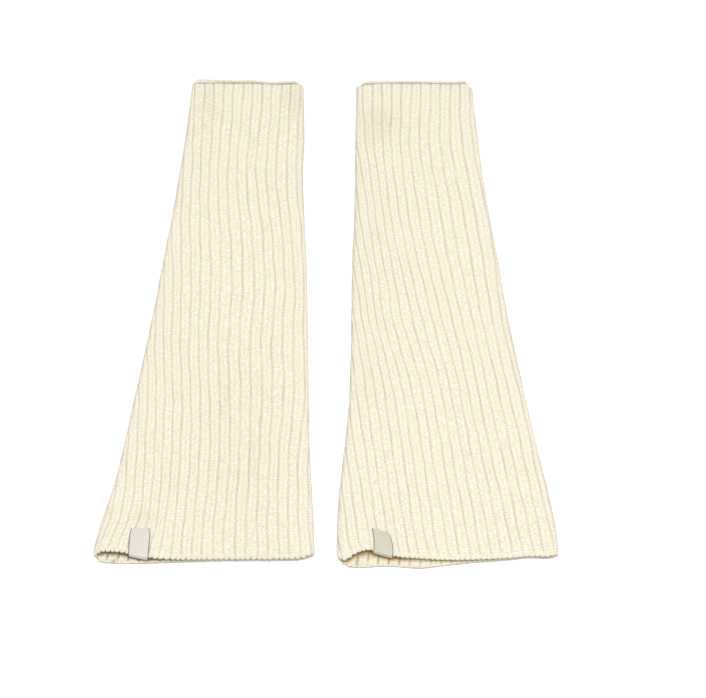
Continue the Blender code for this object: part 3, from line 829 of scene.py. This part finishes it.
def cotton_yarn_material():
    """Soft-spun cotton-blend yarn, ring spun and knitted: matt, with a light bloom of fibre."""
    sizes = bpy.context.scene.leg_warmers
    material, tree, shader, place = new_material("cream_cotton_yarn")
    facts = {}
    for fact in ("height", "hollow", "shade", "rim"):
        node = add_node(tree, "ShaderNodeAttribute", attribute_name=fact, attribute_type="GEOMETRY")
        facts[fact] = node.outputs["Fac"]
    x = add_node(tree, "ShaderNodeSeparateXYZ", {"Vector": place}).outputs["X"]
    # 0 on the left leg and 1 on the right one
    which = add_node(tree, "ShaderNodeMapRange", {"Value": x, "From Min": -LEG_SPLIT, "From Max": LEG_SPLIT})
    # the difference from one stitch to the next, most of it between the chains of stitches
    speck = add_node(tree, "ShaderNodeMapping", {"Vector": place, "Scale": (1.0, 0.7, 1.0)})
    speck = add_node(tree, "ShaderNodeTexNoise", {"Vector": speck, "Scale": 1.0 / (0.9 * MM), "Detail": 2.0})
    speck = add_node(tree, "ShaderNodeMapRange", {"Value": speck, "From Min": 0.34, "From Max": 0.66})
    # painted shade in the valleys: a valley that the ribs either side close over shows less, and each does so in
    # places
    streak = (1.0 / (6.0 * MM), 1.0 / (40.0 * MM), 0.0)
    streak = add_node(tree, "ShaderNodeMapping", {"Vector": place, "Scale": streak})
    closed = add_node(tree, "ShaderNodeTexNoise", {"Vector": streak, "Scale": 1.0, "Detail": 1.0})
    limits = {"From Min": 0.38, "From Max": 0.62, "To Min": 0.8, "To Max": 0.0}
    closed = add_node(tree, "ShaderNodeMapRange", {"Value": closed, **limits})
    # the valleys' painted shade is olive or tan, and on the right leg mostly olive
    tint = add_node(tree, "ShaderNodeTexNoise", {"Vector": streak, "Scale": 1.7, "Detail": 0.0})
    tint = add_node(tree, "ShaderNodeMapRange", {"Value": tint, "From Min": 0.35, "From Max": 0.65})
    tan = add_node(tree, "ShaderNodeMapRange", {"Value": which, "To Min": 1.0, "To Max": 0.4})
    tint = add_node(tree, "ShaderNodeMath", {0: tint, 1: tan}, operation="MULTIPLY")
    # the left leg lies looser toward its left side, where the painted shade in its valleys is fainter
    limits = {"From Min": -0.16, "From Max": -0.06, "To Min": 0.65, "To Max": 1.05}
    pulled = add_node(tree, "ShaderNodeMapRange", {"Value": x, **limits})
    # painted shade in the valleys, deeper the lower a point lies between two ribs
    shade_depth = add_node(tree, "ShaderNodeMapRange", {"Value": facts["height"], "From Min": 0.6, "From Max": 0.0})
    for factor in (closed, pulled):
        shade_depth = add_node(tree, "ShaderNodeMath", {0: shade_depth, 1: factor}, operation="MULTIPLY")
    # painted shade in the small holes between stitches, deeper than the cloth's form can go
    hole_shade = {"Value": facts["hollow"], "From Min": 0.0, "From Max": 0.9, "To Max": 0.55}
    hole_shade = add_node(tree, "ShaderNodeMapRange", hole_shade)
    mixes = {
        "crown": (speck, tuple(sizes.yarn_shade), tuple(sizes.yarn_light)),
        "valley": (tint, linear("#B5B197"), linear("#CDB588")),
        # painted shade deep in the mouth, brown because light there only comes off more cream yarn, greyer on the
        # left leg
        "deep": (which, linear("#9A8866"), linear("#AD9264")),
    }
    for name, (factor, one, other) in mixes.items():
        inputs = {"Factor": factor, "A": one, "B": other}
        mixes[name] = add_node(tree, "ShaderNodeMix", inputs, data_type="RGBA")
    colour = mixes["crown"]
    # painted shade over the yarn's colour: valleys, stitch holes, the mouth, and the cool grey of an edge that
    # turns away from the light
    for factor, tint in (
        (shade_depth, mixes["valley"]),
        (hole_shade, linear("#A39C82")),
        (facts["shade"], mixes["deep"]),
        (facts["rim"], linear("#908F86")),
    ):
        colour = add_node(tree, "ShaderNodeMix", {"Factor": factor, "A": colour, "B": tint}, data_type="RGBA")
    # single fibres, drawn coarser than they are so that they show
    fibre = add_node(tree, "ShaderNodeTexNoise", {"Vector": place, "Scale": 1.0 / (0.8 * MM), "Detail": 3.0})
    bump = add_node(tree, "ShaderNodeBump", {"Height": fibre, "Strength": 0.35, "Distance": 0.3 * MM})
    finish = {"Roughness": 0.9, "IOR": 1.46, "Sheen Weight": 0.12, "Sheen Roughness": 0.5}
    feed(tree, shader, {"Base Color": colour, "Normal": bump, **finish})
    return material


def woven_tape_material():
    """Woven polyester label tape, off-white: smooth and a little shiny, with darker long edges, partly a darker
    selvedge and partly painted shadow.
    """
    material, tree, shader, place = new_material("woven_label_tape")
    across = add_node(tree, "ShaderNodeAttribute", attribute_name="across", attribute_type="GEOMETRY")
    across = across.outputs["Fac"]
    x = add_node(tree, "ShaderNodeSeparateXYZ", {"Vector": place}).outputs["X"]
    which = add_node(tree, "ShaderNodeMapRange", {"Value": x, "From Min": -LEG_SPLIT, "From Max": LEG_SPLIT})
    # threads of a few tenths of a millimetre, drawn coarser so that they show
    threads = [
        add_node(tree, "ShaderNodeTexWave", {"Vector": place, "Scale": 1.0 / (2.2 * MM)}, bands_direction=way)
        for way in ("X", "Y")
    ]
    warp, weft = (thread.outputs["Fac"] for thread in threads)
    colour = weave = add_node(tree, "ShaderNodeMath", {0: warp, 1: weft}, operation="MULTIPLY")
    # painted light: the left label lies flatter to the lamp, and is painted a little paler
    tones = [
        add_node(tree, "ShaderNodeMix", {"Factor": which, "A": linear(left), "B": linear(right)}, data_type="RGBA")
        for left, right in (("#C0BBB1", "#B4AF9D"), ("#D5D0C5", "#C8C3B0"))
    ]
    # darker long edges: partly a darker selvedge, partly painted shadow along the tape's sides
    edge = add_node(tree, "ShaderNodeMapRange", {"Value": across, "From Min": 0.90, "From Max": 0.95})
    colour = add_node(tree, "ShaderNodeMix", {"Factor": weave, "A": tones[0], "B": tones[1]}, data_type="RGBA")
    selvedge = {"Factor": edge, "A": colour, "B": linear("#67635C")}
    colour = add_node(tree, "ShaderNodeMix", selvedge, data_type="RGBA")
    bump = add_node(tree, "ShaderNodeBump", {"Height": weave, "Strength": 0.3, "Distance": 0.1 * MM})
    feed(tree, shader, {"Base Color": colour, "Normal": bump, "Roughness": 0.55, "IOR": 1.5})
    return material


def backdrop_material():
    """Matt white studio paper: even, with a very faint tooth."""
    material, tree, shader, place = new_material("studio_paper")
    tooth = add_node(tree, "ShaderNodeTexNoise", {"Vector": place, "Scale": 60.0, "Detail": 2.0})
    white = {"Factor": tooth, "A": linear("#FBFBFB"), "B": linear("#FDFDFD")}
    colour = add_node(tree, "ShaderNodeMix", white, data_type="RGBA")
    feed(tree, shader, {"Base Color": colour, "Roughness": 1.0, "Specular IOR Level": 0.0})
    return material


def new_tree(name, sizes):
    """A geometry tree with named number inputs, a material input and its two end nodes."""
    tree = bpy.data.node_groups.new(name, "GeometryNodeTree")
    tree.interface.new_socket("Geometry", in_out="INPUT", socket_type="NodeSocketGeometry")
    for size in sizes:
        tree.interface.new_socket(size, in_out="INPUT", socket_type="NodeSocketFloat")
    tree.interface.new_socket("Material", in_out="INPUT", socket_type="NodeSocketMaterial")
    tree.interface.new_socket("Geometry", in_out="OUTPUT", socket_type="NodeSocketGeometry")
    return tree, tree.nodes.new("NodeGroupInput"), tree.nodes.new("NodeGroupOutput")


def end_tree(tree, enter, leave, geometry):
    """Makes a tree's geometry real, gives it its material and hands it on."""
    real = add_node(tree, "GeometryNodeRealizeInstances", {"Geometry": geometry})
    material = enter.outputs["Material"]
    dressed = add_node(tree, "GeometryNodeSetMaterial", {"Geometry": real, "Material": material})
    feed(tree, leave, {"Geometry": dressed})
    return tree


def apply_tree(data, name, tree, values):
    """Runs a geometry tree over a mesh, and gives the result as a plain object at the origin."""
    carrier = bpy.data.objects.new(name + "_plan", data)
    bpy.context.scene.collection.objects.link(carrier)
    modifier = carrier.modifiers.new("knitting", "NODES")
    modifier.node_group = tree
    for item in tree.interface.items_tree:
        if item.in_out == "INPUT" and item.name in values:
            modifier[item.identifier] = values[item.name]
    bpy.context.view_layer.update()
    seen = carrier.evaluated_get(bpy.context.evaluated_depsgraph_get())
    result = bpy.data.meshes.new_from_object(seen)
    result.name = name
    bpy.data.objects.remove(carrier, do_unlink=True)
    piece = bpy.data.objects.new(name, result)
    bpy.context.scene.collection.objects.link(piece)
    return piece


def rib_curve_node(tree, phase, name):
    """A curve over one rib's width through a column of its table."""
    column = RIB_COLUMNS.index(name)
    node = add_node(tree, "ShaderNodeFloatCurve", {"Value": phase})
    table = [(row[0], row[column]) for row in RIB_POINTS] + [(1.0, RIB_POINTS[0][column])]
    curve = node.mapping.curves[0]
    while len(curve.points) < len(table):
        curve.points.new(0.5, 0.5)
    for point, place in zip(curve.points, table):
        point.location = place
        point.handle_type = "VECTOR"
    node.mapping.update()
    return node


def knit_relief_tree():
    """Ribs, stitches and unevenness, each a push of the cloth along its way out."""
    tree, enter, leave = new_tree("knit_relief", ("Rib Rise", "Stitch Rise", "Unevenness", "Yarn Slub"))
    facts = {}
    for fact in ("phase", "course", "sink", "ribbing", "stitching"):
        facts[fact] = add_node(tree, "GeometryNodeInputNamedAttribute", {"Name": fact}, data_type="FLOAT")
    out = add_node(tree, "GeometryNodeInputNamedAttribute", {"Name": "out"}, data_type="FLOAT_VECTOR")
    place = add_node(tree, "GeometryNodeInputPosition")
    profile = rib_curve_node(tree, facts["phase"], "height")
    relief = rib_curve_node(tree, facts["phase"], "relief")
    ribs = add_node(tree, "ShaderNodeMath", {0: profile, 1: facts["sink"]}, operation="SUBTRACT")
    for factor in (facts["ribbing"], enter.outputs["Rib Rise"]):
        ribs = add_node(tree, "ShaderNodeMath", {0: ribs, 1: factor}, operation="MULTIPLY")
    wave = add_node(tree, "ShaderNodeMath", {0: facts["course"], 1: 2.0 * math.pi}, operation="MULTIPLY")
    wave = stitch = add_node(tree, "ShaderNodeMath", {0: wave}, operation="COSINE")
    for factor in (relief, facts["stitching"], enter.outputs["Stitch Rise"]):
        stitch = add_node(tree, "ShaderNodeMath", {0: stitch, 1: factor}, operation="MULTIPLY")
    total = add_node(tree, "ShaderNodeMath", {0: ribs, 1: stitch}, operation="ADD")
    for size, spread in (("Unevenness", 9.0 * MM), ("Yarn Slub", 2.6 * MM)):
        noise = add_node(tree, "ShaderNodeTexNoise", {"Vector": place, "Scale": 1.0 / spread, "Detail": 1.0})
        noise = add_node(tree, "ShaderNodeMath", {0: noise, 1: 0.5}, operation="SUBTRACT")
        for factor in (facts["stitching"], enter.outputs[size]):
            noise = add_node(tree, "ShaderNodeMath", {0: noise, 1: factor}, operation="MULTIPLY")
        total = add_node(tree, "ShaderNodeMath", {0: total, 1: noise}, operation="ADD")
    push = add_node(tree, "ShaderNodeVectorMath", {0: out, "Scale": total}, operation="SCALE")
    knit = {"Geometry": enter.outputs["Geometry"], "Offset": push}
    geometry = add_node(tree, "GeometryNodeSetPosition", knit)
    # how far down a point lies between two ribs, and in the hollow between two stitches
    low = add_node(tree, "ShaderNodeMath", {0: 1.0, 1: profile}, operation="SUBTRACT")
    low = add_node(tree, "ShaderNodeMath", {0: low, 1: facts["ribbing"]}, operation="MULTIPLY")
    height = add_node(tree, "ShaderNodeMath", {0: 1.0, 1: low}, operation="SUBTRACT")
    deeper = add_node(tree, "ShaderNodeMath", {0: low, 1: 0.65, 2: 0.35}, operation="MULTIPLY_ADD")
    hollow = add_node(tree, "ShaderNodeMath", {0: wave, 1: -0.5, 2: 0.5}, operation="MULTIPLY_ADD")
    for factor in (relief, deeper):
        hollow = add_node(tree, "ShaderNodeMath", {0: hollow, 1: factor}, operation="MULTIPLY")
    for fact, value in (("height", height), ("hollow", hollow)):
        stored = {"Geometry": geometry, "Name": fact, "Value": value}
        geometry = add_node(tree, "GeometryNodeStoreNamedAttribute", stored, data_type="FLOAT", domain="POINT")
    return end_tree(tree, enter, leave, geometry)


def bead_tree():
    """A small rounded loop of yarn on every point, turned and sized by the point's own values."""
    tree, enter, leave = new_tree("yarn_loops", ("Loop Size",))
    turn, size = [
        add_node(tree, "GeometryNodeInputNamedAttribute", {"Name": fact}, data_type="FLOAT_VECTOR")
        for fact in ("turn", "size")
    ]
    rotation = add_node(tree, "FunctionNodeEulerToRotation", {0: turn})
    radius = enter.outputs["Loop Size"]
    loop = add_node(tree, "GeometryNodeMeshIcoSphere", {"Radius": radius, "Subdivisions": 2})
    # painted shade: the side of a loop that faces out of the hem turns from the light, and is painted grey
    local = add_node(tree, "GeometryNodeInputPosition")
    outward = add_node(tree, "ShaderNodeSeparateXYZ", {"Vector": local}).outputs["Y"]
    outward = add_node(tree, "ShaderNodeMath", {0: outward, 1: radius}, operation="DIVIDE")
    limits = {"From Min": -0.25, "From Max": -1.0, "To Max": 0.6}
    outward = add_node(tree, "ShaderNodeMapRange", {"Value": outward, **limits})
    for fact, value in (("rim", outward), ("height", 1.0)):
        stored = {"Geometry": loop, "Name": fact, "Value": value}
        loop = add_node(tree, "GeometryNodeStoreNamedAttribute", stored, data_type="FLOAT", domain="POINT")
    soft = add_node(tree, "GeometryNodeSetShadeSmooth", {"Geometry": loop})
    placed = {"Points": enter.outputs["Geometry"], "Instance": soft, "Rotation": rotation, "Scale": size}
    return end_tree(tree, enter, leave, add_node(tree, "GeometryNodeInstanceOnPoints", placed))


def own(piece, slot, *nodes):
    """Ties a finished piece to the frame."""
    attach(piece, "root")
    if nodes:
        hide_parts(*nodes)


LENGTH = {"unit": "LENGTH", "precision": 5}
COLOUR = {"size": 4, "subtype": "COLOR"}


class LegWarmerSettings(bpy.types.PropertyGroup):
    """Sizes and colours of the knit and the labels."""

    rib_rise: bpy.props.FloatProperty(
        name="Rib rise", description="Height of a rib over its valley", default=1.4 * MM, **LENGTH
    )
    stitch_rise: bpy.props.FloatProperty(
        name="Stitch rise", description="Relief of a stitch on its rib", default=0.35 * MM, **LENGTH
    )
    unevenness: bpy.props.FloatProperty(
        name="Unevenness", description="Slow rise and fall of the cloth", default=0.5 * MM, **LENGTH
    )
    slub: bpy.props.FloatProperty(
        name="Yarn slub", description="Difference from stitch to stitch", default=0.35 * MM, **LENGTH
    )
    label_thickness: bpy.props.FloatProperty(
        name="Label thickness", description="Thickness of the woven tape", default=0.45 * MM, **LENGTH
    )
    yarn_light: bpy.props.FloatVectorProperty(
        name="Yarn light", description="The yarn's lighter colour", default=linear("#E8E2D1"), **COLOUR
    )
    yarn_shade: bpy.props.FloatVectorProperty(
        name="Yarn shade", description="The yarn's darker colour", default=linear("#CEC7B1"), **COLOUR
    )


class LEGWARMER_OT_knit(bpy.types.Operator):
    """Knits both legs over their solids"""

    bl_idname = "legwarmer.knit"
    bl_label = "Knit the legs"

    def execute(self, context):
        sizes = context.scene.leg_warmers
        tree = knit_relief_tree()
        values = {
            "Rib Rise": sizes.rib_rise,
            "Stitch Rise": sizes.stitch_rise,
            "Unevenness": sizes.unevenness,
            "Yarn Slub": sizes.slub,
            "Material": cotton_yarn_material(),
        }
        for side, form in FORMS.items():
            name = "knit_" + side
            piece = apply_tree(knit_shell(form).mesh(name), name, tree, values)
            own(piece, "cream_knit", "leg_" + side)
        return {"FINISHED"}


class LEGWARMER_OT_bound_edges(bpy.types.Operator):
    """Binds off the wide end of each leg with a chain of loops"""

    bl_idname = "legwarmer.bound_edges"
    bl_label = "Bind off the hems"

    def execute(self, context):
        tree = bead_tree()
        values = {"Loop Size": 1.0 * MM, "Material": bpy.data.materials["cream_cotton_yarn"]}
        chance = np.random.default_rng(7)
        for side, form in FORMS.items():
            _, left, _, right = form.folds(np.array(HEM_ALONG))
            first, last = form.ends(np.array(HEM_ALONG), 0.5)
            u = form.rib_line(np.arange(*RIB_RANGE, WALES) + WALE_START, HEM_ALONG)
            u = u[(u < first) & (u > last)]
            over, outs, turn = form.point(u, HEM_ALONG, 0.0)
            over[:, 1] += LOOP_LENGTH - LOOP_SETBACK - form.notch * (1.0 + np.cos(turn * math.pi)) / 2.0
            uneven = chance.uniform(*LOOP_UNEVEN, (len(u), 2))
            pitch = np.abs(np.gradient(u))
            wide = pitch * LOOP_SHARE * uneven[:, 0]
            sizes = np.stack([wide, LOOP_LENGTH * uneven[:, 1], np.full(len(u), LOOP_HIGH)], axis=-1)
            x = np.arange(float(left) + UNDER_LOOP_START, float(right), UNDER_LOOP_STEP)
            under = form.under(x, HEM_ALONG, UNDER_LOOP_HEIGHT)
            under[:, 1] += UNDER_LOOP_IN
            leans = np.concatenate([np.arctan2(outs[:, 0], outs[:, 2]), np.zeros(len(x))])
            turns = np.stack([np.zeros_like(leans), leans, np.full(len(leans), LOOP_SLANT)], axis=-1)
            name = "bound_edge_" + side
            data = bpy.data.meshes.new(name + "_points")
            data.from_pydata((np.concatenate([over, under]) * MM).tolist(), [], [])
            sizes = np.concatenate([sizes, np.tile(UNDER_LOOP, (len(x), 1))])
            for fact, vectors in (("turn", turns), ("size", sizes)):
                layer = data.attributes.new(fact, "FLOAT_VECTOR", "POINT")
                layer.data.foreach_set("vector", vectors.astype(np.float32).ravel())
            own(apply_tree(data, name, tree, values), "cream_knit")
        return {"FINISHED"}


def label_rows(form, thickness):
    """The label's path round the hem: near and far points in rows from its top to its inner end."""
    across = np.array(LABEL_ACROSS)
    bulge = LABEL_BULGE * np.sin(across * math.pi)
    rows = []
    for part in np.linspace(0.0, 1.0, LABEL_FRONT_ROWS):
        left, left_y, right, right_y = [
            smooth_curve(form.label[:, 0], form.label[:, column], part) for column in range(1, len(LABEL_COLUMNS))
        ]
        x = left + (right - left) * across
        y = left_y + (right_y - left_y) * across
        hem = form.hem("hem over", form.across(x, HEM_ALONG))
        y = y + (hem - LABEL_HEM_LAP - y) * ramp(part, *LABEL_TO_HEM)
        raised = bulge * ease(part / LABEL_BULGE_SOFT) * ease((1.0 - part) / LABEL_BULGE_SOFT)
        rows.append((x, y, form.height(x, y) + LABEL_LIFT + raised, 0.0))
    x, y, z, _ = rows[-1]
    inside = z - LABEL_LIFT + LABEL_INSIDE
    middle = (z + inside) / 2.0
    for angle in LABEL_TURNS:
        turned = math.radians(angle)
        nose = y - LABEL_NOSE * math.sin(turned)
        rows.append((x, nose, middle + (z - inside) / 2.0 * math.cos(turned), angle))
    for up in np.linspace(0.0, LABEL_UNDER_LENGTH, LABEL_UNDER_ROWS)[1:]:
        rows.append((x, y + up, form.height(x, y + up) + LABEL_INSIDE, 180.0))
    near = np.array([shifted(x, y, z) for x, y, z, _ in rows])
    turns = np.radians([row[3] for row in rows])
    outs = np.stack([np.zeros_like(turns), -np.sin(turns), np.cos(turns)], axis=-1)
    return near, near + outs[:, None, :] * thickness


def strip_faces(rows, columns):
    """Faces of a closed strip of two layers of points, and of its four edges."""
    low = np.arange(rows * columns).reshape(rows, columns)
    high = low + rows * columns
    faces = []
    for grid in (low, high):
        faces.append((grid[:-1, :-1], grid[:-1, 1:], grid[1:, 1:], grid[1:, :-1]))
    for c in (0, -1):
        faces.append((low[:-1, c], low[1:, c], high[1:, c], high[:-1, c]))
    for r in (0, -1):
        faces.append((low[r, :-1], low[r, 1:], high[r, 1:], high[r, :-1]))
    return np.concatenate([np.stack(corners, axis=-1).reshape(-1, 4) for corners in faces]).tolist()


class LEGWARMER_OT_labels(bpy.types.Operator):
    """Folds a plain woven label over each hem"""

    bl_idname = "legwarmer.labels"
    bl_label = "Fold the labels"

    def execute(self, context):
        tape = woven_tape_material()
        from_middle = np.abs(np.array(LABEL_ACROSS) * 2.0 - 1.0)
        for side, form in FORMS.items():
            name = "woven_label_" + side
            layers = label_rows(form, context.scene.leg_warmers.label_thickness / MM)
            rows, columns = layers[0].shape[:2]
            data = bpy.data.meshes.new(name)
            places = np.concatenate(layers).reshape(-1, 3) * MM
            data.from_pydata(places.tolist(), [], strip_faces(rows, columns))
            layer = data.attributes.new("across", "FLOAT", "POINT")
            layer.data.foreach_set("value", np.tile(from_middle, rows * 2).astype(np.float32))
            turn_outward(data)
            data.materials.append(tape)
            piece = bpy.data.objects.new(name, data)
            context.scene.collection.objects.link(piece)
            own(piece, "woven_label", "label_" + side)
        return {"FINISHED"}


class LEGWARMER_OT_stage(bpy.types.Operator):
    """Lays the paper, the lights and the camera"""

    bl_idname = "legwarmer.stage"
    bl_label = "Set the stage"

    def execute(self, context):
        scene = context.scene
        data = bpy.data.meshes.new("studio_paper")
        signs = ((-1, -1), (1, -1), (1, 1), (-1, 1))
        corners = [(x * PAPER_REACH, y * PAPER_REACH, PAPER_HEIGHT) for x, y in signs]
        data.from_pydata(corners, [], [(0, 1, 2, 3)])
        data.materials.append(backdrop_material())
        paper = bpy.data.objects.new("studio_paper", data)
        scene.collection.objects.link(paper)
        world = bpy.data.worlds.new("studio_air")
        world.use_nodes = True
        air = {"Color": (1.0, 1.0, 1.0, 1.0), "Strength": AIR_STRENGTH}
        feed(world.node_tree, world.node_tree.nodes["Background"], air)
        scene.world = world
        for name, place, size, power in LAMPS:
            light = bpy.data.lights.new(name, "AREA")
            light.size = size
            light.energy = power
            lamp = bpy.data.objects.new(name, light)
            lamp.location = place
            lamp.rotation_mode = "QUATERNION"
            lamp.rotation_quaternion = (-lamp.location).to_track_quat("-Z", "Y")
            scene.collection.objects.link(lamp)
        camera = bpy.data.cameras.new("camera")
        camera.sensor_width = SENSOR_WIDTH
        camera.lens = FOCAL_SHARE * SENSOR_WIDTH
        viewer = bpy.data.objects.new("camera", camera)
        back = CAMERA_HEIGHT / math.tan(CAMERA_ELEVATION)
        viewer.location = (CAMERA_OVER[0], CAMERA_OVER[1] - back, CAMERA_HEIGHT)
        viewer.rotation_euler = (math.pi / 2.0 - CAMERA_ELEVATION, 0.0, 0.0)
        scene.collection.objects.link(viewer)
        scene.camera = viewer
        scene.view_settings.view_transform = "Standard"
        return {"FINISHED"}


class LEGWARMER_PT_panel(bpy.types.Panel):
    """Lists the sizes and colours, and the steps in the order they are run"""

    bl_label = "Leg warmers"
    bl_idname = "LEGWARMER_PT_panel"
    bl_space_type = "VIEW_3D"
    bl_region_type = "UI"
    bl_category = "Leg warmers"

    def draw(self, context):
        for name in LegWarmerSettings.__annotations__:
            self.layout.prop(context.scene.leg_warmers, name)
        for step in STEPS:
            self.layout.operator(step.bl_idname)


STEPS = (LEGWARMER_OT_knit, LEGWARMER_OT_bound_edges, LEGWARMER_OT_labels, LEGWARMER_OT_stage)
CLASSES = (LegWarmerSettings,) + STEPS + (LEGWARMER_PT_panel,)


def register():
    for kind in CLASSES:
        bpy.utils.register_class(kind)
    bpy.types.Scene.leg_warmers = bpy.props.PointerProperty(type=LegWarmerSettings)


def unregister():
    del bpy.types.Scene.leg_warmers
    for kind in reversed(CLASSES):
        bpy.utils.unregister_class(kind)


def main():
    """Runs every step in order."""
    register()
    for step in STEPS:
        group, name = step.bl_idname.split(".")
        getattr(getattr(bpy.ops, group), name)()


if __name__ == "__main__":
    main()
